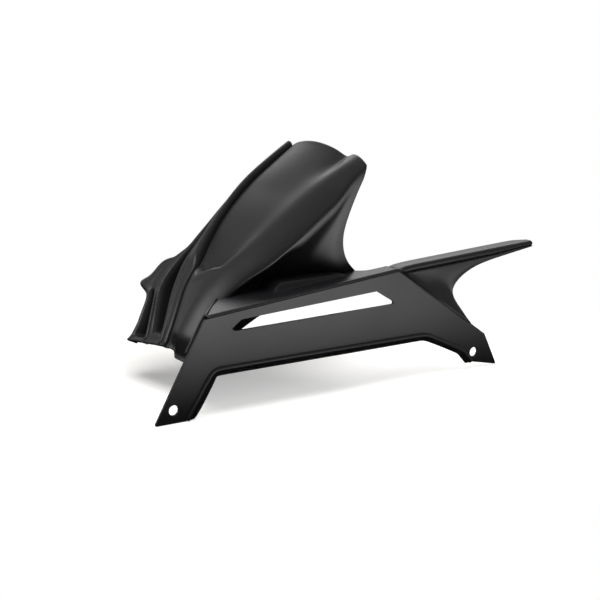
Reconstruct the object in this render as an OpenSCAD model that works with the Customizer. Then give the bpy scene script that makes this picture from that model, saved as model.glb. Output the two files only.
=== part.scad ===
// Rear hugger mudguard: a thin moulded shell that curves over the wheel, with a flat chain-side plate,
// a shelf that joins them, a rear beak and two drilled feet. One moulding throughout, so one solid.
// X runs rearward along the plate, Y from the plate toward the far side and Z up. The pieces are drawn from the
// front toe on the ground, and the whole is moved at the end so that the frame starts in the front hole.

/* [Output] */
// part to draw
// colour of the moulding
shade = [0.16, 0.16, 0.17];

/* [Moulding] */
// wall of the plate, shelf and beak
wall = 3; // [2:0.5:4]
// wall of the curved shell
skin = 3; // [2.4:0.2:3.6]
// radius rolled along the top edge of the plate
roll_r = 5; // [4:0.5:7]

/* [Side plate] */
// length at the ground, front toe to rear toe
plate_len = 401; // [385:1:420]
// top front corner, rearward of the front toe
top_front_x = 53.5; // [50:0.5:58]
// height of the top front corner
top_front_z = 96.8; // [92:0.2:101]
// climb of the top edge toward the rear, degrees
top_slope = 5.3; // [4.5:0.1:6]
// length of the top edge
top_len = 218.5; // [212:0.5:224]
// height of the straight underside between the feet
underside_z = 44.6; // [42:0.2:47]
// front end of that underside
underside_front = 66; // [64:1:70]
// rear end of that underside
underside_rear = 308; // [300:1:314]
// width of the front foot at the ground
front_foot_w = 33.5; // [30:0.5:37]
// width of the rear foot at the ground
rear_foot_w = 34; // [31:0.5:37]
// corner rounding of the plate outline
plate_corner_r = 3; // [2:0.5:4]

/* [Mounting holes] */
// bore of both mounting holes
hole_d = 9.9; // [8:0.1:12]
// front hole, rearward of the toe
front_hole_x = 19.6; // [18:0.1:21]
// front hole height
front_hole_z = 12.6; // [11.5:0.1:14]
// distance between the holes along the ground
hole_pitch = 350.4; // [346:0.1:355]
// rear hole height
rear_hole_z = 17.6; // [16:0.1:19]

/* [Slot] */
// front end of the slot
slot_front_x = 83; // [80:1:88]
// rear end of the slot
slot_rear_x = 267; // [262:1:270]
// height of the slot's lower edge at the front
slot_low_z = 78.6; // [76:0.2:81]
// opening height at the front
slot_front_h = 11.4; // [9:0.2:13]
// opening height at the rear
slot_rear_h = 16.6; // [14:0.2:18]
// climb of the lower edge along the slot
slot_rise = 3; // [2:0.2:4]
// rounding of the slot's corners
slot_r = 3; // [2:0.5:4]

/* [Lower lip] */
// width of the turned-back lip on the front foot
lip_front_w = 9.4; // [7:0.2:11]
// width of the lip under the plate
lip_mid_w = 6.2; // [5:0.2:8]
// width of the lip at the rear foot
lip_rear_w = 4; // [3:0.2:6]
// how far the lip leans back from the face
lip_back = 4; // [3:0.2:5]
// height of the bead where the lip begins
bead_h = 1.3; // [0.8:0.1:2]

/* [Beak] */
// how far the beak's web sits behind the plate at its top
beak_set = 6.5; // [5:0.5:8]
// climb of the beak's top edge, degrees
beak_slope = 3.3; // [2.5:0.1:4]
// length of the beak from the plate's corner
beak_len = 177; // [165:1:185]
// depth of the flange along the top of the beak
beak_flange = 18; // [14:0.5:22]
// width of the slanting step in front of the web, at its top
riser_w = 12.8; // [10:0.2:15]
// height of the beak's flange under the corner of the plate
beak_drop = 2.2; // [1:0.2:3]

/* [Shelf] */
// depth of the shelf at the rear of the shell
shelf_rear_y = 35; // [32:1:37]
// depth of the shelf behind the shell, at the beak
shelf_tail_y = 20; // [17:0.5:22]
// depth of the shelf where the shell's front begins
shelf_front_y = 52; // [48:1:55]
// height of the pad raised along the shelf
pad_h = 6; // [4:0.5:7]
// front end of the pad
pad_front_x = 151; // [146:1:156]
// rear end of the pad
pad_rear_x = 226; // [220:1:230]
// outer edge of the pad
pad_y = 23; // [20:1:26]

/* [Shell arc] */
// wheel centre the shell is curved about, rearward of the toe
axle_x = 346; // [344:1:348]
// wheel centre under the ground line of the plate
axle_drop = 105; // [103:1:107]
// radius of the shell's outside
arc_r = 324; // [321:1:327]
// rise of the rear end over that radius
kick_h = 21; // [18:1:23]
// angle ahead of top where the rise begins
kick_from = 38; // [36:1:40]
// angle of the rear trim ahead of top
arc_rear = 16.9; // [16:0.1:18]
// angle of the front trim ahead of top
arc_front = 62.5; // [61.5:0.1:63]
// angle of the near wall's front trim
wall_trim = 60.5; // [59.5:0.1:61.5]
// radius of the inner trim of the side walls
trim_r = 295; // [292:1:298]

/* [Shell form] */
// height of the crest at the rear end
crest_h = 11; // [8:0.5:13]
// depth of the crest band at its front end
crest_sink = 5; // [4:0.5:6]
// depth of the groove beside the crest
groove_h = 7; // [5:0.5:8]
// fullness of the front bulge
bulge_h = 6; // [4:0.5:8]
// depth of the pocket under the near shoulder
pocket_h = 15; // [10:1:17]
// depth of the two front recesses
recess_h = 6; // [4:0.5:7]
// length of the far flange's point
point_y = 26; // [22:1:28]
// depth to which the bulge turns under at its front end
chin_h = 11; // [6:0.5:13]
// height of the lip under the far flange's point
far_lip_h = 5; // [4:0.5:9]
// outward turn of the front trim
hem_h = 2.5; // [1.5:0.5:3]
// depth of the far wall
far_wall_h = 27; // [22:1:30]

/* [Hidden] */
$fn = 48;
eps = 0.01;
axle_z = -axle_drop;
rear_toe_x = plate_len;
rear_hole_x = front_hole_x + hole_pitch;
corner_x = top_front_x + top_len * cos(top_slope);
corner_z = top_front_z + top_len * sin(top_slope);
knee_x = plate_len - 17;
knee_z = 35.6;
plate_top_x = corner_x + roll_r * 1.4;
rear_climb = (corner_z - roll_r - knee_z) / (knee_x - plate_top_x);
heel_x = plate_len - 35;
heel_z = knee_z + (knee_x - heel_x) * rear_climb;
rear_in_x = plate_len - rear_foot_w;
rear_in_z = 7.5;
bend_x = 355.5;
bend_z = 21;
web_set = 0.5;
beak_lean = atan((beak_set - web_set) / (corner_z - heel_z));

// Rails of the shell: each pair is an angle ahead of top and the distance from the plate's face.
crease_rail = [[17, 16], [33, 23], [41, 30], [46.6, 41], [51.3, 50], [56, 50], [63, 50]];
valley_rail = [[17, 52.5], [27, 58], [38, 63.5], [46, 73], [51, 74], [63, 72]];
groove_rail = [[17, 158], [27, 162], [32, 157], [37, 149], [42, 135], [46.5, 122.5], [51, 117], [54, 109],
               [57, 101], [60, 96], [63, 94]];
edge_rail = [[17, 168.2], [28, 169.2], [35, 164.6], [40, 159.6], [44, 157.8], [47, 167], [48.2, 183], [50.4, 186],
             [52, 186], [53.8, 176 + point_y], [54.5, 175.5], [56, 169], [59.6, 163], [63, 166]];
ridge_rail = [[17, 165], [28, 166.5], [37, 153.5], [43, 144], [46.7, 141], [52.7, 126], [57, 112.5], [60, 105],
              [63, 103]];
near_recess_rail = [[17, 165.6], [28, 167], [37, 156], [43, 149], [47, 147], [53, 132], [57, 117.5], [60, 109],
                    [63, 107]];
far_recess_rail = [[17, 166.2], [28, 167.5], [37, 159], [43, 154.2], [47, 157], [51, 158.5], [54, 154.5], [57, 141],
                   [60.2, 127], [63, 122]];
rib_rail = [[17, 166.8], [28, 168], [37, 160], [43, 155.2], [47, 159.5], [51, 161], [54, 157.5], [57, 143],
            [60.4, 131.5], [63, 128]];
rib_two_rail = [[17, 167.4], [28, 168.4], [37, 161], [43, 156], [47, 162], [51, 165], [54, 163], [57.3, 149.5],
                [61, 136], [63, 133]];
flange_y = 176;
foot_rail = [[26, 33], [43, 34], [47, 38], [51, 48], [63, 50]];
// Trim angle of the near wall by the share of its height over the shelf.
rear_trim = [[0, 26.6], [0.12, 27], [0.3, 26], [0.55, 23.4], [0.8, 20.3], [1, 18]];

function mix(a, b, t) = a + (b - a) * t;
function clamp01(t) = min(1, max(0, t));
function ease(t) = clamp01(t) * clamp01(t) * (3 - 2 * clamp01(t));
// share of the way from a to b, eased
function step(a, b, x) = ease((x - a) / (b - a));
// rail value softened over a degree and a half either side
function rail(a, tab) = (lookup(a - 1.5, tab) + 2 * lookup(a, tab) + lookup(a + 1.5, tab)) / 4;
function base_r(a) = arc_r + kick_h * pow(max(0, (kick_from - a) / (kick_from - arc_rear)), 1.6);
// radius at which the shelf's top crosses the angle a
function shelf_r(a) = (top_front_z - axle_z + tan(top_slope) * (axle_x - top_front_x))
                      / (cos(a) + tan(top_slope) * sin(a));
function foot_r(a) = min(shelf_r(a) - wall / 2, trim_r);
function polar(a, r, y) = [axle_x - r * sin(a), y, axle_z + r * cos(a)];

// Rows of the shell by nominal angle, closer where a step or a recess ends.
rows = concat([for (a = [arc_rear:1.75:44]) a], [for (a = [45:0.7:48.7]) a], [for (a = [49.8:1.3:53.1]) a],
              [53.9, 54.4], [for (a = [55.4:1.1:58.7]) a], [59.2], [for (a = [60:0.5:arc_front - 0.4]) a], [arc_front]);
wall_n = 8;
shoulder_n = 6;
crest_n = 8;
far_out = [1.6, 2.4, 2.6, 2.6];
far_in = [0.05, 0.1, 0.15, 0.2];

// how far the surface has turned under at the front of the bulge
function chin(a, y) = chin_h * clamp01((a - 59.2) / 4) * (1 - step(78, 94, y));
// height of the shoulder and bulge over the base radius, q across from crease to valley
function shoulder_h(a, q) =
    mix(mix(-6 + 8.5 * sin(150 * q) - 1.5 * q, -5 + 6.5 * sin(130 * q), step(22, 34, a)),
        -4 + (bulge_h + 3) * sin(80 * q + 10), step(44, 52, a));
// height of the crest band and bulge, q across from valley to groove
function crest_line(a, q) =
    let (up = mix(crest_h, 2.5, step(17, 33, a)), dome = pow(sin(180 * q), 0.8),
         band = mix(-1 + up * dome, -crest_sink + 1.2 * (1 - dome), step(30, 45, a)),
         front = mix(bulge_h * 0.75, -1.5, pow(q, 1.6)))
    mix(band, front, step(46.2, 47.4, a));
function groove_depth(a) = mix(groove_h, 2.2, step(45.8, 48, a));
function recess_two(a) = recess_h * step(37, 47, a) * (1 - step(59.4, 60.9, a));
function recess_one(a) = recess_h * step(54, 55.4, a) * (1 - step(60.6, 62, a));
function ribs_on(a) = step(53.6, 55, a);

// Each column is [angle-dependent distance, height over base radius, inner height].
function top_cols(a) =
    let (yc = rail(a, crease_rail), yv = rail(a, valley_rail), yg = rail(a, groove_rail), yf = lookup(a, edge_rail),
         yr = rail(a, ridge_rail), y1 = rail(a, near_recess_rail), y2 = rail(a, far_recess_rail),
         ya = rail(a, rib_rail), yb = rail(a, rib_two_rail), gd = groove_depth(a), d2 = recess_two(a),
         d1 = recess_one(a), rb = ribs_on(a), edge = min(yf, flange_y), lip = mix(1, 0, step(45, 48, a)),
         rim = mix(yb, edge, 0.85))
    concat(
        [for (k = [0:shoulder_n]) let (q = k / shoulder_n) [mix(yc, yv, q), shoulder_h(a, q)]],
        [for (k = [1:crest_n]) let (q = k / crest_n) [mix(yv, yg - 4.5, q), crest_line(a, q * 0.96)]],
        [[yg - 1.6, -gd], [yg + 0.8, -gd], [yg + 3.4, -0.6 * lip - 0.5]],
        [[mix(yg + 3.4, yr, 0.55), 0.2 - 1.5 * (1 - lip)], [yr, 0.8], [mix(yr, y1, 0.6), 0.2 - 0.3 * d2], [y1, -0.8 * d2 - 0.4],
         [mix(y1, y2, 0.5), -d2 - 0.6], [y2, -0.85 * d2 - 0.3], [ya, 0.2], [mix(ya, yb, 0.5), -2 * rb],
         [yb, 0.2], [mix(yb, edge, 0.25), -0.9 * d1], [mix(yb, edge, 0.65), -d1],
         [rim, 0], [mix(rim, yf, 0.6), 0.4 + 0.12 * (yf - edge)], [yf, -0.6 + 0.1 * (yf - edge)]]);
top_n = shoulder_n + 1 + crest_n + 3 + 14;

// The near wall, from its foot on the shelf up to the crease.
function wall_y(a, w, edge_share) =
    let (yf = rail(a, foot_rail), yc = rail(a, crease_rail),
         deep = pocket_h * (1 - step(42, 51, a)) * step(0, 1, edge_share))
    mix(yf, yc + 4 * (1 - step(48, 52, a)) * step(0, 0.4, edge_share), pow(w, 1.3)) + deep * pow(sin(180 * pow(w, 0.8)), 0.8);

// angle of row i at a column whose rear trim is t0 and front trim is t1
function warp(a, t0, t1) =
    a < 34 ? 34 - (34 - a) * (34 - t0) / (34 - arc_rear)
    : a > 56 ? 56 + (a - 56) * (t1 - 56) / (arc_front - 56) : a;
function front_trim(y) = y < 75 ? arc_front + 0.9 : arc_front - 0.3 + 2.2 * max(0, y - 85) / 84;
function hem(a) = hem_h * step(arc_front - 0.9, arc_front, a);
function skew(a, y) = exp(-pow((a - 46.8) / 3.5, 2)) * max(-1, min(1, (y - 97) / 25));

// Points of row angle a across the near wall, the top and the far wall: deep is 0 outside and 1 inside.
function row_at(a, deep) =
    let (cols = top_cols(a), yf = cols[len(cols) - 1][0], hang = 1.5 * (1 - step(42, 51, a)),
         far_h = 1 + mix(mix(far_wall_h, far_lip_h, step(44, 48, a)), far_lip_h * 1.8, step(54, 56, a)))
    concat(
        [for (k = [0:wall_n - 1])
            let (w = k / wall_n, aw = warp(a, lookup(w, rear_trim), mix(wall_trim, arc_front + 0.9, pow(w, 3))),
                 share = clamp01((aw - lookup(w, rear_trim)) / 7))
            polar(aw, mix(foot_r(aw), base_r(aw) - 9, w), wall_y(aw, w, share) + skin * deep)],
        [for (k = [0:top_n - 1])
            let (c = cols[k], t0 = k == 0 ? 18 : k < shoulder_n ? mix(17.8, 16.6, k / shoulder_n) : arc_rear,
                 aw = warp(a, t0, front_trim(c[0])), turn = k == 0 ? deep : 0)
            polar(aw + skew(a, c[0]), base_r(aw) + c[1] + hem(a) - chin(aw, c[0]) - skin * deep + hang * turn,
                  c[0] + (skin + hang) * turn)],
        [for (k = [0:3])
            let (aw = warp(a, arc_rear, front_trim(yf)))
            polar(aw + skew(a, yf), base_r(aw) + mix(mix(-1.4, -0.9 - skin, deep), -far_h, k / 3),
                  yf + mix(far_out[k], far_in[k], deep))]);

outer_pts = [for (a = rows) row_at(a, 0)];
inner_pts = [for (a = rows) row_at(a, 1)];

function flat(grid) = [for (r = grid) for (p = r) p];
function unit(v) = v / max(norm(v), 1e-6);
function quad(a, b, c, d) = [[a, b, c], [a, c, d]];

// A closed sheet between two grids of points of the same size.
module sheet_solid(front, back) {
    m = len(front);
    n = len(front[0]);
    b = m * n;
    function id(i, j) = i * n + j;
    skins = [for (i = [0:m - 2]) for (j = [0:n - 2])
        concat(quad(id(i, j), id(i + 1, j), id(i + 1, j + 1), id(i, j + 1)),
               quad(b + id(i, j), b + id(i, j + 1), b + id(i + 1, j + 1), b + id(i + 1, j)))];
    sides = [for (i = [0:m - 2])
        concat(quad(id(i, 0), b + id(i, 0), b + id(i + 1, 0), id(i + 1, 0)),
               quad(id(i, n - 1), id(i + 1, n - 1), b + id(i + 1, n - 1), b + id(i, n - 1)))];
    ends = [for (j = [0:n - 2])
        concat(quad(id(0, j), id(0, j + 1), b + id(0, j + 1), b + id(0, j)),
               quad(id(m - 1, j), b + id(m - 1, j), b + id(m - 1, j + 1), id(m - 1, j + 1)))];
    polyhedron(concat(flat(front), flat(back)), concat(flat(skins), flat(sides), flat(ends)), convexity = 10);
}

module shell() {
    sheet_solid(outer_pts, inner_pts);
}

// Stands a flat outline drawn in X and Z on its edge, from y0 toward the far side.
module standing(y0, t) {
    translate([0, y0 + t, 0])
        rotate([90, 0, 0])
            linear_extrude(t)
                children();
}

module plate_outline() {
    offset(plate_corner_r)
        offset(-plate_corner_r)
            polygon([[0, 0], [front_foot_w, 0], [underside_front - 8, underside_z - 6], [underside_front, underside_z],
                     [underside_rear, underside_z], [bend_x, bend_z], [rear_in_x, rear_in_z], [rear_toe_x, 0],
                     [knee_x, knee_z], [plate_top_x, corner_z - roll_r],
                     [top_front_x - roll_r * 0.55, top_front_z - roll_r]]);
}

module slot_outline() {
    offset(slot_r)
        offset(-slot_r)
            polygon([[slot_front_x, slot_low_z], [slot_rear_x, slot_low_z + slot_rise],
                     [slot_rear_x - 1, slot_low_z + slot_rise + 4],
                     [slot_rear_x - 21, slot_low_z + slot_rise + slot_rear_h],
                     [slot_front_x + 8.5, slot_low_z + slot_front_h], [slot_front_x, slot_low_z + 4]]);
}

module bore(x, z) {
    translate([x, -1, z])
        rotate([-90, 0, 0])
            cylinder(d = hole_d, h = wall + 2);
}

module plate() {
    difference() {
        standing(0, wall)
            plate_outline();
        standing(-1, wall + 2)
            slot_outline();
        bore(front_hole_x, front_hole_z);
        bore(rear_hole_x, rear_hole_z);
    }
}

// Path of the lower lip with the width of the lip at each point.
lip_path = [[front_foot_w + 0.4, 0.8, lip_front_w], [underside_front - 9, underside_z - 9, lip_front_w * 0.9],
            [underside_front - 5.4, underside_z - 3.2, lip_mid_w * 1.2], [underside_front + 3, underside_z - 0.4, lip_mid_w],
            [underside_rear - 6, underside_z - 0.4, lip_mid_w * 0.9], [underside_rear + 4, underside_z - 2.6, lip_rear_w * 1.2],
            [bend_x - 2, bend_z + 0.6, lip_rear_w], [bend_x + 3.4, bend_z - 5, lip_rear_w],
            [rear_in_x - 0.6, rear_in_z + 1, lip_rear_w * 0.8]];
function path_dir(i) = let (a = lip_path[max(0, i - 1)], b = lip_path[min(len(lip_path) - 1, i + 1)])
    unit([b[0] - a[0], b[1] - a[1]]);
function lip_section(i) =
    let (p = lip_path[i], d = path_dir(i), n = [d[1], -d[0]], w = p[2])
    [for (s = [[-3.2, 0.1], [-1.8, -bead_h * 0.85], [-0.4, -bead_h], [w * 0.5, lip_back * 0.32], [w, lip_back],
               [w - 1, lip_back + wall * 0.9], [-1, wall - 0.1], [-3.2, wall - 0.1]])
        [p[0] + n[0] * s[0], s[1], p[1] + n[1] * s[0]]];
module lip() {
    rings = [for (i = [0:len(lip_path) - 1]) lip_section(i)];
    m = len(rings);
    n = len(rings[0]);
    function id(i, j) = i * n + (j % n);
    faces = concat(
        [for (i = [0:m - 2]) for (j = [0:n - 1]) [id(i, j), id(i + 1, j), id(i + 1, j + 1)]],
        [for (i = [0:m - 2]) for (j = [0:n - 1]) [id(i, j), id(i + 1, j + 1), id(i, j + 1)]],
        [[for (j = [0:n - 1]) id(0, j)]],
        [[for (j = [n - 1:-1:0]) id(m - 1, j)]]);
    polyhedron(flat(rings), faces, convexity = 4);
}

// the lip stops level with the foot
module lip_on_ground() {
    intersection() {
        lip();
        translate([0, -wall, 0])
            cube([plate_len, 6 * wall, top_front_z]);
    }
}

// The frame of the plate's top edge: its own X along the edge, Y across, Z up from the shelf's top.
module on_top_edge() {
    translate([top_front_x, 0, top_front_z])
        rotate([0, -top_slope, 0])
            children();
}

module rolled_corner(length, r) {
    rotate([90, 0, 90])
        linear_extrude(length)
            intersection() {
                translate([r, -r])
                    difference() {
                        circle(r);
                        circle(r - wall);
                    }
                translate([-1, -r - 0.5])
                    square([r + 1.5, r + 1]);
            }
}

module shelf() {
    on_top_edge() {
        rolled_corner(top_len, roll_r);
        translate([0, 0, -wall])
            linear_extrude(wall)
                polygon([[3.8, roll_r - 0.5], [top_len, roll_r - 0.5], [top_len, shelf_tail_y],
                         [pad_rear_x - top_front_x + 24, shelf_tail_y + 1], [pad_rear_x - top_front_x + 16, shelf_tail_y + 6],
                         [pad_rear_x - top_front_x + 12, shelf_rear_y + 1], [104, shelf_rear_y + 2],
                         [84, shelf_rear_y + 4], [62, shelf_front_y - 4], [47, shelf_front_y], [44, shelf_front_y - 1]]);
        pad();
    }
}

module pad() {
    run = pad_rear_x - pad_front_x;
    translate([pad_front_x - top_front_x, shelf_rear_y + 1, -1])
        rotate([90, 0, 0])
            linear_extrude(shelf_rear_y + 1 - pad_y)
                polygon([[0, 0], [run, 0], [run - 8, pad_h + 1], [14, pad_h + 1], [6, pad_h * 0.5 + 1]]);
}

// The panel that closes the front between the plate's front edge and the shell.
cheek_top_a = 51.3;
cheek_low_a = arc_front - 1;
cheek_low_z = top_front_z * 0.635;
function plate_edge_x(z) = top_front_x * z / top_front_z;
function cheek_left(z) = [plate_edge_x(z) + 0.8, wall * 0.8, z];
function cheek_right(s) = polar(mix(cheek_top_a, cheek_low_a, s), base_r(cheek_top_a) - 5.2, shelf_front_y + 0.4);
cheek_pts = [for (s = [0, 0.35, 0.7, 1]) [for (t = [0:0.125:1])
    mix(cheek_left(mix(top_front_z - 0.4, cheek_low_z, s)), cheek_right(s), t)
    + [0, 0, 5 * s * sin(180 * t) + 2.2 * (1 - s) * t]]];
module cheek() {
    sheet_solid(cheek_pts, [for (r = cheek_pts) [for (p = r) p + [wall * 1.2, 0, 0]]]);
}

beak_top_z = corner_z - beak_drop;
function beak_z(x) = beak_top_z + (x - corner_x) * tan(beak_slope);
beak_tip_x = corner_x + beak_len;
// lower curve of the beak's web, from the tip forward and down to the plate's heel
beak_curve = [for (t = [0:0.0625:0.94])
    let (a = [beak_tip_x, beak_z(beak_tip_x) - 4], b = [beak_tip_x - 126, beak_z(beak_tip_x) - 22],
         c = [beak_tip_x - 118, heel_z + 20], d = [heel_x - 3, heel_z - 3])
    a * pow(1 - t, 3) + b * 3 * t * pow(1 - t, 2) + c * 3 * t * t * (1 - t) + d * pow(t, 3)];
module beak() {
    translate([0, web_set, heel_z])
        rotate([-beak_lean, 0, 0])
            translate([0, 0, -heel_z])
                standing(0, wall)
                    polygon(concat([[corner_x + riser_w - 2, beak_z(corner_x) - 2],
                                    [beak_tip_x - 1, beak_z(beak_tip_x) - 1.5]],
                                   beak_curve, [[heel_x - 0.4, heel_z + 2]]));
    translate([corner_x, beak_set, beak_top_z])
        rotate([0, -beak_slope, 0]) {
            translate([0, -0.6, 0])
                rolled_corner(beak_len / cos(beak_slope), 4);
            translate([0, 2, -wall])
                linear_extrude(wall)
                    offset(2)
                        offset(-2)
                            polygon([[-6, 0], [beak_len, 0], [beak_len + 1, beak_flange * 0.4],
                                     [beak_len - 5, beak_flange - 2], [-6, beak_flange - 2]]);
        }
    riser();
}

// The slanting step between the plate's face and the beak's web.
module riser() {
    far_x = corner_x + riser_w;
    up = [corner_x - 0.7, 0.35, corner_z - roll_r * 0.5];
    low = [heel_x - 2.4, 0.35, heel_z + 0.9];
    far = [far_x, beak_set + 0.5, beak_z(far_x) - 2];
    out = [heel_x + 0.4, 1.1, heel_z + 2.2];
    t = [0, wall, 0];
    polyhedron([up, far, out, low, up + t, far + t, out + t, low + t],
               [[0, 1, 2], [0, 2, 3], [4, 6, 5], [4, 7, 6], [0, 5, 1], [0, 4, 5], [1, 6, 2], [1, 5, 6],
                [2, 7, 3], [2, 6, 7], [3, 4, 0], [3, 7, 4]]);
}

// The frame starts at the middle of the front mounting hole, half-way through the plate.
module hugger() {
    color(shade)
        translate([-front_hole_x, -wall / 2, -front_hole_z])
            union() {
                shell();
                plate();
                lip_on_ground();
                shelf();
                cheek();
                beak();
            }
}

hugger();
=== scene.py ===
import math
import bpy
from mathutils import Matrix, Vector


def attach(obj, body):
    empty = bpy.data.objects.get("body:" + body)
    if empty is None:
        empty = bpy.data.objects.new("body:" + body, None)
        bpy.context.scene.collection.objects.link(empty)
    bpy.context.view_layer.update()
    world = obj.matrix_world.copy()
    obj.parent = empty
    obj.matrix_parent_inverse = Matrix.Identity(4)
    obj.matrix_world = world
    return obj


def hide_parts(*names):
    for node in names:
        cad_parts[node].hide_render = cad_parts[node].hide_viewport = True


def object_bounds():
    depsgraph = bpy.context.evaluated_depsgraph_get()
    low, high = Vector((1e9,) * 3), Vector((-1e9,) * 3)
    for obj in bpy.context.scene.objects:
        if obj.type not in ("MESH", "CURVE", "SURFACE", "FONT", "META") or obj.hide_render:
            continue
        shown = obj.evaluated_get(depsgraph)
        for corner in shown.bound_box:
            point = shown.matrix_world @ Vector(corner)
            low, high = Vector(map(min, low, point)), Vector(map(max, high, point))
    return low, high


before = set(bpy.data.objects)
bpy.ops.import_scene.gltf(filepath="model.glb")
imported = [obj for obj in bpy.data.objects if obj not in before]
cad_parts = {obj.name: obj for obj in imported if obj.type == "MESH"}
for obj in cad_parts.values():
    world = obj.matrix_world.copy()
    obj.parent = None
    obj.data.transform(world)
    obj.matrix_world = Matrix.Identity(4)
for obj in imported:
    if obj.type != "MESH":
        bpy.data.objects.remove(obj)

cad_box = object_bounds()

# The view: a short telephoto from the front left, a little above the part, with no tilt and no shift.
# Its place was found from the two round mounting holes and the long slot of the side plate.
VIEW_TURN, VIEW_RISE = math.radians(-31.82), math.radians(13.35)
eye = bpy.data.cameras.new("view")
eye.sensor_width = 36.0
eye.lens = 84.0
eye.clip_start, eye.clip_end = 0.05, 20.0
camera = bpy.data.objects.new("view", eye)
camera.location = (-0.5495, -1.1069, 0.3963)
camera.rotation_euler = (math.radians(90) - VIEW_RISE, 0.0, VIEW_TURN)
bpy.context.collection.objects.link(camera)
bpy.context.scene.camera = camera


# The studio: a white paper sweep that keeps a soft grey shadow. The background is white to the camera, and
# the room is dim in the plastic's sheen, most of all on the camera's side and to the left.
def linear(hex_colour):
    """sRGB hex to the linear colour that a shader takes."""
    raw = [int(hex_colour[i:i + 2], 16) / 255 for i in (0, 2, 4)]
    return [c / 12.92 if c <= 0.04045 else ((c + 0.055) / 1.055) ** 2.4 for c in raw] + [1.0]


def add_node(tree, kind, links=(), **settings):
    """A shader node with its settings; links are (input, other node, its output), by number or name."""
    node = tree.nodes.new(kind)
    for name, value in settings.items():
        if name.startswith("in_"):
            key = name[3:]
            node.inputs[int(key) if key.isdigit() else key.replace("_", " ")].default_value = value
        else:
            setattr(node, name, value)
    for key, other, output in links:
        tree.links.new(other.outputs[output], node.inputs[key])
    return node


WHITE = linear("ffffff")
scene = bpy.context.scene
scene.view_settings.view_transform = "Standard"
world = bpy.data.worlds.new("studio")
world.use_nodes = True
scene.world = world
sky = world.node_tree
sky.nodes.clear()
ray = add_node(sky, "ShaderNodeLightPath")
where = add_node(sky, "ShaderNodeTexCoord")
heading = add_node(sky, "ShaderNodeSeparateXYZ", [("Vector", where, "Generated")])
dusk = add_node(sky, "ShaderNodeMapRange", [("Value", heading, "Z")],
                in_From_Min=0.0, in_From_Max=0.6, in_To_Min=0.42, in_To_Max=0.05)
flank = add_node(sky, "ShaderNodeMapRange", [("Value", heading, "X")],
                 in_From_Min=-0.7, in_From_Max=0.2, in_To_Min=0.15, in_To_Max=1.0)
front = add_node(sky, "ShaderNodeMapRange", [("Value", heading, "Y")],
                 in_From_Min=-0.5, in_From_Max=0.3, in_To_Min=0.1, in_To_Max=1.0)
room = dusk
for share in (flank, front):
    room = add_node(sky, "ShaderNodeMath", [(0, room, 0), (1, share, 0)], operation="MULTIPLY")
room = add_node(sky, "ShaderNodeMath", [(0, ray, "Is Glossy Ray"), (1, room, 0)], operation="MULTIPLY")
seen = add_node(sky, "ShaderNodeMath", [(0, ray, "Is Camera Ray"), (1, ray, "Is Transmission Ray")],
                operation="MAXIMUM")
seen_or_room = add_node(sky, "ShaderNodeMath", [(0, seen, 0), (1, room, 0)], operation="MAXIMUM")
fill = add_node(sky, "ShaderNodeBackground", in_Color=WHITE, in_Strength=0.25)
backdrop = add_node(sky, "ShaderNodeBackground", in_Color=WHITE, in_Strength=1.0)
mixed = add_node(sky, "ShaderNodeMixShader", [(0, seen_or_room, 0), (1, fill, 0), (2, backdrop, 0)])
add_node(sky, "ShaderNodeOutputWorld", [("Surface", mixed, 0)])

# The paper under the part: a 6 m sheet, grey in the part's shadow and blending into the white backdrop
# further off. Its own glow fades behind the part, a painted shade that darkens the paper there and through
# the slot beyond its real shadow. Glossy reflections alone see a painted reflection: one pool in front of the
# plate, up to 5.4 times as bright as white, with dark paper around it.
FLOOR_GAP = 0.0003
bpy.ops.mesh.primitive_plane_add(size=6.0, location=(0.2, 0.1, cad_box[0][2] - FLOOR_GAP))
floor = bpy.context.object
floor.name = "floor"
paper = bpy.data.materials.new("white_paper_sweep")
paper.use_nodes = True
tree = paper.node_tree
tree.nodes.clear()
ray = add_node(tree, "ShaderNodeLightPath")
spot = add_node(tree, "ShaderNodeTexCoord")
side = add_node(tree, "ShaderNodeSeparateXYZ", [("Vector", spot, "Object")])
around = add_node(tree, "ShaderNodeVectorMath", [(0, spot, "Object")], operation="LENGTH")
far_off = add_node(tree, "ShaderNodeMapRange", [("Value", around, "Value")],
                   in_From_Min=0.20, in_From_Max=0.46)
# Painted shade: the paper's glow is weaker behind the part.
behind = add_node(tree, "ShaderNodeMapRange", [("Value", side, "Y")],
                  in_From_Min=-0.10, in_From_Max=0.12, in_To_Min=0.56, in_To_Max=0.12)
matte = add_node(tree, "ShaderNodeBsdfDiffuse", in_Color=linear("f4f2ef"))
glow = add_node(tree, "ShaderNodeEmission", [("Strength", behind, 0)], in_Color=WHITE)
blank = add_node(tree, "ShaderNodeEmission", in_Color=WHITE, in_Strength=1.0)
lift = add_node(tree, "ShaderNodeAddShader", [(0, matte, 0), (1, glow, 0)])
sweep = add_node(tree, "ShaderNodeMixShader", [(0, far_off, 0), (1, lift, 0), (2, blank, 0)])

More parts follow.
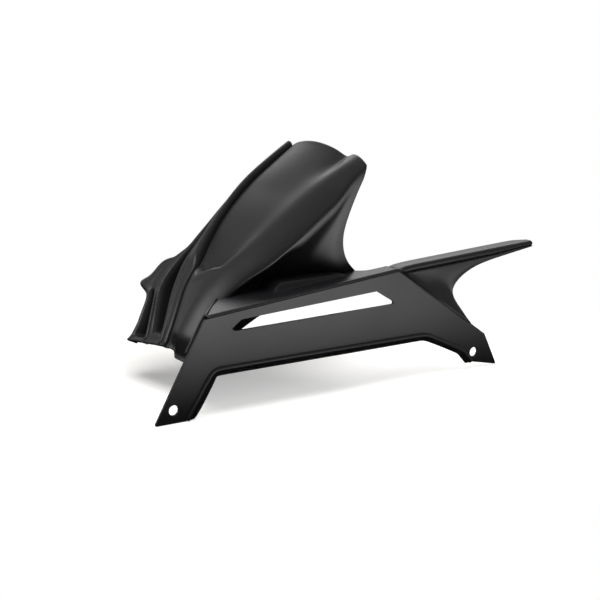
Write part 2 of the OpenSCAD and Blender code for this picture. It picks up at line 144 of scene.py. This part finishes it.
# Painted reflection: a shaped pool of glow that only glossy rays see, in front of the plate.
pool = add_node(tree, "ShaderNodeMapRange", [("Value", side, "Y")], interpolation_type="SMOOTHSTEP",
                in_From_Min=-0.14, in_From_Max=-0.55, in_To_Min=0.0, in_To_Max=5.4)
pool_edges = (("X", 0.52, 0.26, 0.02), ("Y", -1.25, -0.65, 0.03), ("X", -0.42, 0.02, 0.0))
for axis, dark_at, lit_at, rest in pool_edges:
    edge = add_node(tree, "ShaderNodeMapRange", [("Value", side, axis)], interpolation_type="SMOOTHSTEP",
                    in_From_Min=dark_at, in_From_Max=lit_at, in_To_Min=rest, in_To_Max=1.0)
    pool = add_node(tree, "ShaderNodeMath", [(0, pool, 0), (1, edge, 0)], operation="MULTIPLY")
mirror = add_node(tree, "ShaderNodeEmission", [("Strength", pool, 0)], in_Color=WHITE)
to_camera = add_node(tree, "ShaderNodeMixShader", [(0, ray, "Is Camera Ray"), (1, matte, 0), (2, sweep, 0)])
to_sheen = add_node(tree, "ShaderNodeMixShader",
                    [(0, ray, "Is Glossy Ray"), (1, to_camera, 0), (2, mirror, 0)])
add_node(tree, "ShaderNodeOutputMaterial", [("Surface", to_sheen, 0)])
floor.data.materials.append(paper)


# The lamps: one large softbox overhead lights the paper and the body colour, and doesn't show in the sheen.
# Two more show in the sheen alone: one behind the part for the crest, the shelf and the beak, and a small
# one at the left for the front.
def softbox(name, place, target, width, height, power, on_matt, in_sheen):
    """An area light, turned to the target, that lights matt colour or shows in glossy reflections."""
    lamp = bpy.data.lights.new(name, "AREA")
    lamp.shape = "RECTANGLE"
    lamp.size, lamp.size_y, lamp.energy = width, height, power
    holder = bpy.data.objects.new(name, lamp)
    holder.location = place
    holder.rotation_euler = (Vector(target) - Vector(place)).to_track_quat("-Z", "Y").to_euler()
    holder.visible_diffuse, holder.visible_glossy = on_matt, in_sheen
    bpy.context.collection.objects.link(holder)


softbox("overhead", (0.05, 0.0, 1.6), (0.2, 0.05, 0.0), 1.5, 1.3, 29, on_matt=True, in_sheen=False)
softbox("back", (0.98, 1.6, 1.32), (0.2, 0.1, 0.1), 1.6, 1.15, 12, on_matt=False, in_sheen=True)
softbox("left", (-1.0, 0.62, 0.85), (0.1, 0.1, 0.1), 0.5, 0.7, 6, on_matt=False, in_sheen=True)

# The plastic: black ABS, injection moulded. The spark-eroded mould leaves a fine even grain, which gives a
# satin grey sheen to what the light reaches. An ambient-occlusion mask cuts the sheen in the hollows, a
# painted shade that keeps them nearly black. The real grain is about 0.1 mm wide. It is drawn at 0.7 mm, 1400
# cells to the metre, because a finer one wouldn't show.
abs_black = bpy.data.materials.new("satin_black_abs")
abs_black.use_nodes = True
tree = abs_black.node_tree
tree.nodes.clear()
spot = add_node(tree, "ShaderNodeTexCoord")
centre = add_node(tree, "ShaderNodeMapping", [("Vector", spot, "Object")], in_Location=(-0.22, -0.1, -0.12))
grain = add_node(tree, "ShaderNodeTexNoise", [("Vector", centre, 0)],
                 in_Scale=1400.0, in_Detail=3.0, in_Roughness=0.6)
cloud = add_node(tree, "ShaderNodeTexNoise", [("Vector", centre, 0)], in_Scale=9.0, in_Detail=2.0)
bump = add_node(tree, "ShaderNodeBump", [("Height", grain, "Fac")], in_Strength=0.12, in_Distance=0.0003)
satin = add_node(tree, "ShaderNodeMapRange", [("Value", cloud, "Fac")],
                 in_From_Min=0.3, in_From_Max=0.7, in_To_Min=0.35, in_To_Max=0.40)
# Painted shade: ambient occlusion lowers the specular level in hollows, creases and under overhangs.
hollow = add_node(tree, "ShaderNodeAmbientOcclusion", samples=8, in_Distance=0.021)
openness = add_node(tree, "ShaderNodeMath", [(0, hollow, "AO")], operation="POWER", in_1=1.1)
sheen_dimmed_in_hollows = add_node(tree, "ShaderNodeMath", [(0, openness, 0)], operation="MULTIPLY", in_1=0.5)
skin = add_node(tree, "ShaderNodeBsdfPrincipled",
                [("Roughness", satin, "Result"), ("Normal", bump, "Normal"),
                 ("Specular IOR Level", sheen_dimmed_in_hollows, 0)],
                in_Base_Color=linear("171719"), in_IOR=1.5)
add_node(tree, "ShaderNodeOutputMaterial", [("Surface", skin, 0)])

# The shell: a thin skin curved over the tyre, moulded in one with the rest. From the chain side it has a
# deep pocket, a rounded shoulder, a valley, a broad crest, a groove, two front recesses and a far flange.
# All sizes are in mm: X from the front toe, Y from the plate's outer face and Z from the ground.
HOLE_X, HOLE_Z, PLATE_WALL = 19.6, 12.6, 3.0
WHEEL_X, WHEEL_Z, WHEEL_ARC = 346, -105, 324
SHELF_X, SHELF_Z, SHELF_RISE = 53.5, 96.8, math.radians(5.3)
ARC_REAR, ARC_FRONT, WALL_TRIM = 16.9, 62.5, 60.5
SHELL_WALL = 3.0


def at(x, y, z):
    """A point in mm as a place in metres, measured from the middle of the front mounting hole."""
    return Vector(((x - HOLE_X) * 0.001, (y - PLATE_WALL / 2) * 0.001, (z - HOLE_Z) * 0.001))


def mix(a, b, t):
    return a + (b - a) * t


def step(a, b, x):
    """Share of the way from a to b, eased at both ends."""
    t = min(1.0, max(0.0, (x - a) / (b - a)))
    return t * t * (3 - 2 * t)


def sine(degrees):
    return math.sin(math.radians(degrees))


def lookup(x, table):
    """Value at x in a table of pairs, held level past both ends."""
    if x <= table[0][0]:
        return table[0][1]
    for (x0, y0), (x1, y1) in zip(table, table[1:]):
        if x <= x1:
            return y0 + (y1 - y0) * (x - x0) / (x1 - x0)
    return table[-1][1]


def sheet(name, rows, cols, point, wall, levels):
    """A grid whose vertices stand at point(row, column), thickened to the wall and smoothed."""
    bpy.ops.object.select_all(action="DESELECT")
    bpy.ops.mesh.primitive_grid_add(x_subdivisions=rows - 1, y_subdivisions=cols - 1, size=2)
    piece = bpy.context.object
    piece.name = piece.data.name = name
    for vertex in piece.data.vertices:
        row = round((vertex.co.x + 1) / 2 * (rows - 1))
        col = round((vertex.co.y + 1) / 2 * (cols - 1))
        vertex.co = at(*point(row, col))
    thick = piece.modifiers.new("wall", "SOLIDIFY")
    thick.thickness, thick.offset = wall * 0.001, -1.0
    soft = piece.modifiers.new("rounding", "SUBSURF")
    soft.levels = soft.render_levels = levels
    for modifier in ("wall", "rounding"):
        bpy.ops.object.modifier_apply(modifier=modifier)
    bpy.ops.object.shade_smooth()
    return piece


# Each rail gives a line's distance from the plate at each angle over the wheel, from the rear (17 degrees)
# to the front (63 degrees): the near wall's foot, the crease under the shoulder, the valley, the groove, the
# ridge, both sides of the recesses, the two ribs, and the far edge.
foot_rail = [(26, 33), (43, 34), (47, 37), (51, 42), (56, 41), (63, 38)]
crease_rail = [(17, 18), (33, 24), (41, 30), (46.6, 40), (51.3, 45), (56, 42), (63, 38)]
valley_rail = [(17, 52.5), (27, 58), (38, 63.5), (46, 73), (51, 74), (63, 72)]
groove_rail = [(17, 158), (27, 162), (32, 157), (37, 149), (42, 135), (46.5, 122.5), (51, 117), (54, 109),
               (57, 101), (60, 96), (63, 94)]
ridge_rail = [(17, 165), (28, 166.5), (37, 153.5), (43, 144), (46.7, 141), (52.7, 126), (57, 112.5),
              (60, 105), (63, 103)]
near_recess_rail = [(17, 165.6), (28, 167), (37, 156), (43, 149), (47, 147), (53, 132), (57, 117.5),
                    (60, 109), (63, 107)]
far_recess_rail = [(17, 166.2), (28, 167.5), (37, 159), (43, 154.2), (47, 157), (51, 158.5), (54, 154.5),
                   (57, 141), (60.2, 127), (63, 122)]
rib_rail = [(17, 166.8), (28, 168), (37, 160), (43, 155.2), (47, 159.5), (51, 161), (54, 157.5),
            (57, 143), (60.4, 131.5), (63, 128)]
rib_two_rail = [(17, 167.4), (28, 168.4), (37, 161), (43, 156), (47, 162), (51, 165), (54, 163),
                (57.3, 149.5), (61, 136), (63, 133)]
edge_rail = [(17, 168.2), (28, 169.2), (35, 164.6), (40, 159.6), (44, 157.8), (47, 167), (48.2, 183),
             (50.4, 186), (52, 186), (53.8, 202), (54.5, 175.5), (56, 169), (59.6, 163), (63, 166)]

# The angle at which the near wall begins, from its foot (0) to its top (1), and the shell's grid.
rear_trim = [(0, 25.6), (0.03, 26.2), (0.2, 27.1), (0.39, 26.7), (0.61, 25.2), (0.78, 22.4), (0.92, 19.9),
             (1, 17.9)]
wall_share = [0, 0.12, 0.27, 0.42, 0.57, 0.72, 0.84, 0.93, 0.98]
shoulder_share = [0, 0.035, 0.17, 0.33, 0.5, 0.67, 0.83, 1]
CREST_COLS, FAR_COLS = 7, 4
shell_rows = [16.9, 17.25, 18.2] + [19.6 + 1.75 * k for k in range(14)]
shell_rows += [43.6, 44.6, 45.3, 45.9, 46.5, 47.1, 47.8, 48.6, 49.8, 51.1, 52.4, 53.4, 53.9, 54.4, 55.4,
               56.5, 57.6, 58.7, 59.4, 60, 60.5, 61, 61.5, 62, 62.3, 62.5]


def rail(a, table):
    """A rail's value with its corners eased."""
    return (lookup(a - 1.5, table) + 2 * lookup(a, table) + lookup(a + 1.5, table)) / 4


def polar(a, r, y):
    return (WHEEL_X - r * sine(a), y, WHEEL_Z + r * math.cos(math.radians(a)))


def base_r(a):
    """Radius of the skin, which lifts away from the wheel towards the rear."""
    return WHEEL_ARC + 21 * max(0.0, (38 - a) / (38 - ARC_REAR)) ** 1.6


def foot_r(a):
    """Radius at which the near wall meets the shelf or ends inside the front."""
    lean = math.tan(SHELF_RISE)
    height = SHELF_Z - WHEEL_Z + lean * (WHEEL_X - SHELF_X)
    on_shelf = height / (math.cos(math.radians(a)) + lean * sine(a))
    return min(on_shelf - 1.5, lookup(a, [(40, 262), (44, 271), (49.4, 281), (54, 291), (56, 295)]))


def shoulder_h(a, q):
    """Height of the shoulder over the arc, from the crease (q = 0) to the valley (q = 1)."""
    rear = -4.5 + 7.4 * sine(150 * q) - 2.0 * q
    middle = -13 + 13.2 * max(0.0, sine(92 * q)) ** 0.75
    return mix(mix(rear, middle, step(18.5, 25, a)), -4 + 9 * sine(80 * q + 10), step(39, 54, a))


def crest_h(a, q):
    """Height of the crest, from the valley to the groove: domed, then sunk, then a step up at its end."""
    up = mix(11, 1.2, min(1.0, max(0.0, (a - ARC_REAR) / 11)) ** 0.65)
    dome = max(0.0, sine(180 * q)) ** mix(0.8, 1.15, step(17, 24, a))
    sunk = 1.5 + 4 * step(30, 45, a) + 3 * step(41, 46, a) * sine(180 * q)
    band = mix(-1 + up * dome, -sunk + 1.2 * (1 - dome), step(30, 45, a))
    rim = 1.6 * step(46.6, 47.3, a) * (1 - step(47.6, 49.5, a)) * sine(180 * q)
    return mix(band, mix(4.5, -1.5, q ** 1.6) + rim, step(46.3, 47.1, a))


def chin(a, y):
    """How far the front edge turns down on the plate's side."""
    return 11 * min(1.0, max(0.0, (a - 59.2) / 4)) * (1 - step(78, 94, y))


def top_columns(a):
    """Distance from the plate and height over the arc of each column, from the crease to the far edge."""
    crease, valley, groove = (rail(a, table) for table in (crease_rail, valley_rail, groove_rail))
    ridge, near, far = (rail(a, table) for table in (ridge_rail, near_recess_rail, far_recess_rail))
    rib, rib_two, brim = rail(a, rib_rail), rail(a, rib_two_rail), lookup(a, edge_rail)
    edge = min(brim, 176)
    deep = mix(8.5, 5.5, step(45.8, 48, a))
    near_deep = 19 * step(38, 47, a) * (1 - step(59.6, 60.7, a))
    far_deep = 17 * step(53.6, 55.4, a) * (1 - step(60.8, 61.9, a))
    corner, split, lip = min(1.5, 0.28 * (far - near)), 3.5 * step(53.6, 55, a), 1 - step(45, 48, a)
    cols = [(mix(crease, valley, q), shoulder_h(a, q)) for q in shoulder_share]
    for k in range(1, CREST_COLS + 1):
        cols.append((mix(valley, groove - 4.5, k / CREST_COLS), crest_h(a, k / CREST_COLS * 0.96)))
    cols += [(groove - 3.5, -1.0 - 0.2 * deep), (groove - 2.7, -0.85 * deep), (groove - 1.2, -deep),
             (groove + 1.0, -deep), (groove + 1.9, -0.8 * deep), (groove + 2.1, 1.2 * lip - 0.8),
             (groove + 2.6, 4.6 * lip - 0.5), (groove + 6.2, 4.2 * lip - 0.4),
             (mix(groove + 6.2, ridge, 0.55), 1.6 * lip + 0.2 - 1.5 * (1 - lip)), (ridge, 0.8),
             (mix(ridge, near, 0.6), 0.4)]
    cols += [(near - 0.1 * corner, 0), (near + 0.35 * corner, -0.5 * near_deep),
             (near + corner, -0.92 * near_deep), (mix(near, far, 0.5), -near_deep),
             (far - corner, -0.85 * near_deep), (far - 0.3 * corner, -0.4 * near_deep),
             (mix(far, rib, 0.3), 0.3)]
    cols += [(mix(rib, rib_two, 0.05), 0.6), (mix(rib, rib_two, 0.35), -split),
             (mix(rib, rib_two, 0.6), -split), (mix(rib, rib_two, 0.9), 0.4)]
    cols.append((mix(rib_two, edge, 0.05), 0.2))
    for share, drop in ((0.16, 0.8), (0.4, 1.0), (0.68, 0.7), (0.8, 0.2)):
        cols.append((mix(rib_two, edge, share), -drop * far_deep))
    cols += [(mix(rib_two, edge, 0.88), 0.2),
             (mix(mix(rib_two, edge, 0.88), brim, 0.6), 0.4 + 0.12 * (brim - edge)),
             (brim, -0.6 + 0.1 * (brim - edge))]
    return cols


def warp(a, rear, front):
    """The grid's angle moved so that the rear and front rows follow their own edges."""
    if a < 34:
        return 34 - (34 - a) * (34 - rear) / (34 - ARC_REAR)
    return 56 + (a - 56) * (front - 56) / (ARC_FRONT - 56) if a > 56 else a


def front_trim(y):
    return ARC_FRONT + 0.9 if y < 75 else ARC_FRONT - 0.3 + 2.2 * max(0.0, y - 85) / 84


def skew(a, y):
    """The curve of the step at the crest's front end, as a shift of the rows in degrees."""
    dip = lookup(y, [(72, -1), (82, -0.5), (90, 0.3), (98, 1.3), (104, 1.7), (110, 1.4), (118, 0.4),
                     (126, -0.4), (135, 0)])
    return math.exp(-((a - 46.8) / 3.5) ** 2) * dip


def wall_point(a, w):
    """The near wall, from its foot (w = 0) to the crease: a plain margin at the rear, then the pocket."""
    rear = lookup(w, rear_trim)
    a_here = warp(a, rear, mix(WALL_TRIM, ARC_FRONT + 0.9, w ** 3))
    upright = step(34, 41, a)
    turned = step(0, 1, (a_here - rear - 2.6 * (1 - w)) / mix(5.5, 3, w))
    pocket = 21 * (1 - step(42, 51, a)) * step(0, mix(7.0, 8.5, w), a_here - rear - 2.8 * (1 - w))
    crease = rail(a_here, crease_rail) + 4 * (1 - step(48, 52, a)) * turned * upright
    y = mix(rail(a_here, foot_rail), crease, w ** 1.3)
    y += pocket * mix(1 - w ** 1.2, max(0.0, sine(180 * w ** 0.8)) ** 0.8, upright)
    top = base_r(a_here) - mix(mix(8.5, 17, step(18.5, 26, a)), 9, upright)
    return polar(a_here, mix(foot_r(a_here), top, w), y)


def shell_point(row, col):
    a = shell_rows[row]
    if col < len(wall_share):
        return wall_point(a, wall_share[col])
    col -= len(wall_share)
    cols = top_columns(a)
    y, height = cols[min(col, len(cols) - 1)]
    on_shoulder = col < len(shoulder_share) - 1
    rear = mix(17.3, 16.4, shoulder_share[col] ** 0.7) if on_shoulder else ARC_REAR
    a_here = warp(a, rear, front_trim(y))
    if col < len(cols):
        hem = 2.5 * step(ARC_FRONT - 0.9, ARC_FRONT, a)
        return polar(a_here + skew(a, y), base_r(a_here) + height + hem - chin(a_here, y), y)
    k = col - len(cols)
    hang = 1 + mix(mix(27, 5, step(44, 48, a)), 9, step(54, 56, a))
    r = base_r(a_here) + mix(-1.4, -hang, k / (FAR_COLS - 1))
    return polar(a_here + skew(a, y), r, y + (1.6, 2.4, 2.6, 2.6)[k])


shell_cols = len(wall_share) + len(top_columns(20)) + FAR_COLS
shell = sheet("shell", len(shell_rows), shell_cols, shell_point, SHELL_WALL, levels=2)

# The shelf: a narrow ledge that joins the plate to the shell, moulded in one with them, with a raised pad
# along its inner side. Its outer corner is rounded and ends in a fine reveal line over the plate's face.
SHELF_WALL, SHELF_INNER_COLS = 2.6, 7
shelf_s = [1.6, 2.2, 4, 8, 16, 26, 36, 44, 47, 54, 62, 72, 80, 84, 87, 90, 93, 96, 99, 104, 110, 116, 124,
           132, 140, 148, 156, 160, 163, 166, 169, 172, 175, 180, 184.5, 187, 190, 194, 198, 204, 210, 215,
           217.5, 219.6]
shelf_depth = [(0, 4.6), (3.8, 6), (44, 51), (47, 52), (62, 50), (84, 56), (104, 62), (160, 62), (176, 42),
               (184.5, 36), (188.5, 27), (193, 23), (198, 21), (218.5, 20)]
shelf_arc = [(2.0, -6.5), (1.9, -3.6), (1.75, -2.6), (0.6, -2.2), (0.1, -1.7), (0.25, -0.8), (1.1, 0.2),
             (2.4, 0.6), (3.6, 0.7)]
shelf_y = [5, 9, 13, 16.5, 19, 20.5, 21.5, 22.5, 23.5, 25]


def shelf_point(row, col):
    s = shelf_s[row]
    if col < len(shelf_arc):
        y, h = shelf_arc[col]
    else:
        depth, col = lookup(s, shelf_depth), col - len(shelf_arc)
        reach = min(1.0, depth / 28)
        inner = (col - len(shelf_y) + 1) / SHELF_INNER_COLS
        y = shelf_y[col] * reach if col < len(shelf_y) else mix(28 * reach, depth, inner)
        on_pad = step(85, 97, s) * (1 - step(163, 172, s)) * step(20.4, 23.2, y)
        h = mix(8.0, 3.4, step(90, 165, s)) * on_pad
    run, rise = math.cos(SHELF_RISE), math.sin(SHELF_RISE)
    return (SHELF_X + s * run - h * rise, y, SHELF_Z + s * rise + h * run)


shelf_cols = len(shelf_arc) + len(shelf_y) + SHELF_INNER_COLS
shelf = sheet("shelf", len(shelf_s), shelf_cols, shelf_point, SHELF_WALL, levels=1)

# The side plate: a flat panel with a long tapered slot and two drilled feet. Its top and rear edges stop
# just short of the rounded corner beside them, which leaves the reveal line.
HOLE_R, HOLE_POINTS, EASED_EDGE = 4.95, 48, 0.5
hole_centres = ((HOLE_X, HOLE_Z), (370.0, 17.6))


def rounded(corners, radius):
    """Outline with each corner turned to an arc; corners are (x, z) or (x, z, radius of its own)."""
    out = []
    for i, corner in enumerate(corners):
        here, r = Vector(corner[:2]), corner[2] if len(corner) > 2 else radius
        before = (Vector(corners[i - 1][:2]) - here).normalized()
        after = (Vector(corners[(i + 1) % len(corners)][:2]) - here).normalized()
        half = before.angle(after) / 2
        if half > math.radians(86):
            out.append(here)
            continue
        centre = here + (before + after).normalized() * r / math.sin(half)
        start = here + before * r / math.tan(half) - centre
        end = here + after * r / math.tan(half) - centre
        turn = start.angle_signed(end)
        for k in range(7):
            arm = start.copy()
            arm.rotate(Matrix.Rotation(-turn * k / 6, 2))
            out.append(centre + arm)
    return out


def board(name, outlines, wall, edge):
    """A flat board standing on its edge behind the plate's outer face, cut from closed outlines."""
    drawing = bpy.data.curves.new(name, "CURVE")
    drawing.dimensions, drawing.fill_mode = "2D", "BOTH"
    drawing.extrude, drawing.bevel_depth = (wall / 2 - edge) * 0.001, edge * 0.001
    drawing.bevel_resolution, drawing.offset = 2, -edge * 0.001
    for outline in outlines:
        spline = drawing.splines.new("POLY")
        spline.points.add(len(outline) - 1)
        for point, (x, z) in zip(spline.points, outline):
            point.co = ((x - HOLE_X) * 0.001, (z - HOLE_Z) * 0.001, 0.0, 1.0)
        spline.use_cyclic_u = True
    piece = bpy.data.objects.new(name, drawing)
    bpy.context.collection.objects.link(piece)
    bpy.ops.object.select_all(action="DESELECT")
    piece.select_set(True)
    bpy.context.view_layer.objects.active = piece
    piece.rotation_euler = (math.radians(90), 0, 0)
    piece.location = (0, (wall / 2 - PLATE_WALL / 2) * 0.001, 0)
    bpy.ops.object.convert(target="MESH")
    piece = bpy.context.object
    bpy.ops.object.transform_apply(location=True, rotation=True, scale=True)
    for face in piece.data.polygons:
        face.use_smooth = abs(face.normal.y) < 0.995
    return piece


turns = [2 * math.pi * k / HOLE_POINTS for k in range(HOLE_POINTS)]
holes = [[(x + HOLE_R * math.cos(turn), z + HOLE_R * math.sin(turn)) for turn in turns]
         for x, z in hole_centres]
plate_edge = rounded([(0, 0, 1.2), (33.5, 0), (58, 38.6), (66, 44.6), (308, 44.6), (355.5, 21), (367, 7.5),
                      (401, 0, 1.2), (384, 35.6), (366, 48.6), (272.2, 114.9, 1.5), (52.6, 94.5, 1.5)], 3)
slot_edge = rounded([(82.6, 78.6, 5), (267, 81.6, 2), (266, 85.6), (246, 98.2), (91.5, 90),
                     (81.6, 82.6, 2.2)], 3)
plate = board("side_plate", [plate_edge, slot_edge] + holes, PLATE_WALL, EASED_EDGE)

# The lower lip: a fine bead along the lower edge of the plate, then a band turned back behind it, moulded
# in one with the plate to stiffen it. The band is widest at the front foot.
LIP_WALL, BEAD_COLS = 1.6, 7
lip_path = [(33.9, 0.0, 9.4), (36, 3.4, 9.4), (46, 19.5, 9.2), (55, 33.8, 8.8), (58.5, 38.6, 8.2),
            (61.8, 42.4, 7.4), (66, 44, 6.6), (72, 44.2, 6.2), (110, 44.2, 6.2), (160, 44.2, 6.1),
            (210, 44.2, 6), (260, 44.2, 5.8), (300, 44.2, 5.6), (306, 43.8, 5.2), (312, 42, 4.4),
            (330, 33, 3.6), (350, 23, 3.1), (354, 20.8, 3), (358, 17, 3), (364, 9.8, 3), (366.4, 7.2, 2.6)]
lip_bead = [(-2.4, 0.5), (-1.9, 0.0), (-1.3, -0.6), (-0.6, -0.75), (0.0, -0.5), (0.3, 0.3), (0.6, 1.4)]
lip_band = [0.25, 0.6, 0.92, 1.0]


def lip_point(row, col):
    x, z, width = lip_path[row]
    (x0, z0, _), (x1, z1, _) = lip_path[max(0, row - 1)], lip_path[min(len(lip_path) - 1, row + 1)]
    along = Vector((x1 - x0, z1 - z0)).normalized()
    if col < BEAD_COLS:
        out, y = lip_bead[col]
    else:
        share = lip_band[col - BEAD_COLS]
        out, y = width * share, 1.5 + 4.2 * share
    return (x + along.y * out, y, max(0.3, z - along.x * out))


lip = sheet("lower_lip", len(lip_path), len(lip_bead) + len(lip_band), lip_point, LIP_WALL, levels=1)

# The beak: a slanting step behind the plate, then a web that thins to a point, with a narrow flange along
# its top. The flange's edge rolls over and under, which shows as a lit line over a black one.
BEAK_WALL, WEB_COLS = 2.4, 8
BEAK_START, BEAK_TIP, BEAK_TOP_Z, BEAK_RISE = 281.0, 449.6, 115.3, math.radians(3.2)
beak_curve = [(367.2, 47.0), (365.6, 49.4), (361.5, 54.2), (357.4, 59.7), (352.5, 65.2), (348.6, 71),
              (345.6, 76.6), (344.4, 81.7), (344.2, 86), (345.8, 90.2), (350.2, 95.6), (356.8, 100.5),
              (365.4, 105.2), (375.6, 109.2), (389, 112.3), (403.7, 114.8), (420, 117.4), (438, 119.9),
              (446, 121.2), (450.4, 122)]
beak_roll = [(18, 0.3), (12, 0.3), (4, 0.3), (1.5, 0.25), (0.4, -0.2), (0.15, -1.0), (1.0, -2.4), (2.4, -3.8)]
beak_rows = [-1.0, -0.85, -0.15, 0.0] + [k / 14 for k in range(1, 14)] + [0.97, 0.994, 1.0]


def beak_point(row, col):
    """The slanting step for u from -1 to 0, then the web from u = 0 to its tip at 1."""
    u = beak_rows[row]
    if u <= 0:
        share = 1 + u
        top = Vector((mix(272.0, BEAK_START, share), mix(1.2, 6.5, share), mix(115.6, BEAK_TOP_Z, share)))
        low = Vector((mix(362.6, 367.2, share), mix(1.2, 1.8, share), mix(48.6, 47.0, share)))
    else:
        x = mix(BEAK_START, BEAK_TIP, u)
        top = Vector((x, 6.5, BEAK_TOP_Z + (x - BEAK_START) * math.tan(BEAK_RISE)))
        spot = (u ** 0.9) * (len(beak_curve) - 1)
        i = min(int(spot), len(beak_curve) - 2)
        (x0, z0), (x1, z1) = beak_curve[i], beak_curve[i + 1]
        low = Vector((mix(x0, x1, spot - i), 0, mix(z0, z1, spot - i)))
        front_y, low.y = mix(1.8, 6.0, step(47, 100, low.z)), mix(1.8, 10.5, step(47, 78, low.z))
        low += Vector((0.62 * (low.y - front_y), 0, -0.28 * (low.y - front_y)))
    slim = min(1.0, (top.z - low.z) / 11)
    if col < len(beak_roll):
        back, down = beak_roll[col]
        tip = 1 - 0.5 * step(0.93, 1.0, u)
        return (top.x, top.y + back * tip, top.z + down * slim - 1.0 * (1 - step(-0.02, 0.05, u)))
    share = (col - len(beak_roll)) / (WEB_COLS - 1)
    foot = top + Vector((0, 3.4 * step(-0.1, 0.05, u), -4.6 * slim))
    spot = foot.lerp(low, share)
    dish = 2.5 * sine(180 * share) * step(-0.1, 0.06, u) * (1 - step(0.15, 0.8, u))
    return (spot.x, spot.y + dish, spot.z)


beak = sheet("beak", len(beak_rows), len(beak_roll) + WEB_COLS, beak_point, BEAK_WALL, levels=1)

# The front panel: a plain cheek, moulded in one with the rest, that closes the way between the plate's
# front edge and the shell. Its top tucks in under the shelf.
PANEL_WALL, PANEL_COLS = 3.0, 9
panel_rows = (0, 0.02, 0.04, 0.1, 0.35, 0.7, 0.95, 1)


def panel_point(row, col):
    s, t = panel_rows[row], col / (PANEL_COLS - 1)
    z0 = mix(96.4, 61.5, s)
    x0 = SHELF_X * z0 / SHELF_Z + 0.8 + 3.2 * (1 - step(0, 0.04, s))
    x1, y1, z1 = polar(mix(51.3, 61.5, s), base_r(51.3) - 5.2, 52.4)
    return (mix(x0, x1, t), mix(2.0, y1, t), mix(z0, z1, t) + 5 * s * sine(180 * t) + 4.6 * (1 - s) * t)


panel = sheet("front_panel", len(panel_rows), PANEL_COLS, panel_point, PANEL_WALL, levels=1)

# The moulding: all of the above is one piece of plastic from one mould, so it is joined to one mesh, which
# stands in for the plain solid.
bpy.ops.object.select_all(action="DESELECT")
for piece in (shell, shelf, plate, lip, beak, panel):
    piece.select_set(True)
bpy.context.view_layer.objects.active = shell
bpy.ops.object.join()
moulding = bpy.context.object
moulding.name = moulding.data.name = "moulding"
moulding.data.materials.clear()
moulding.data.materials.append(abs_black)
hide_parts("hugger")
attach(moulding, "root")
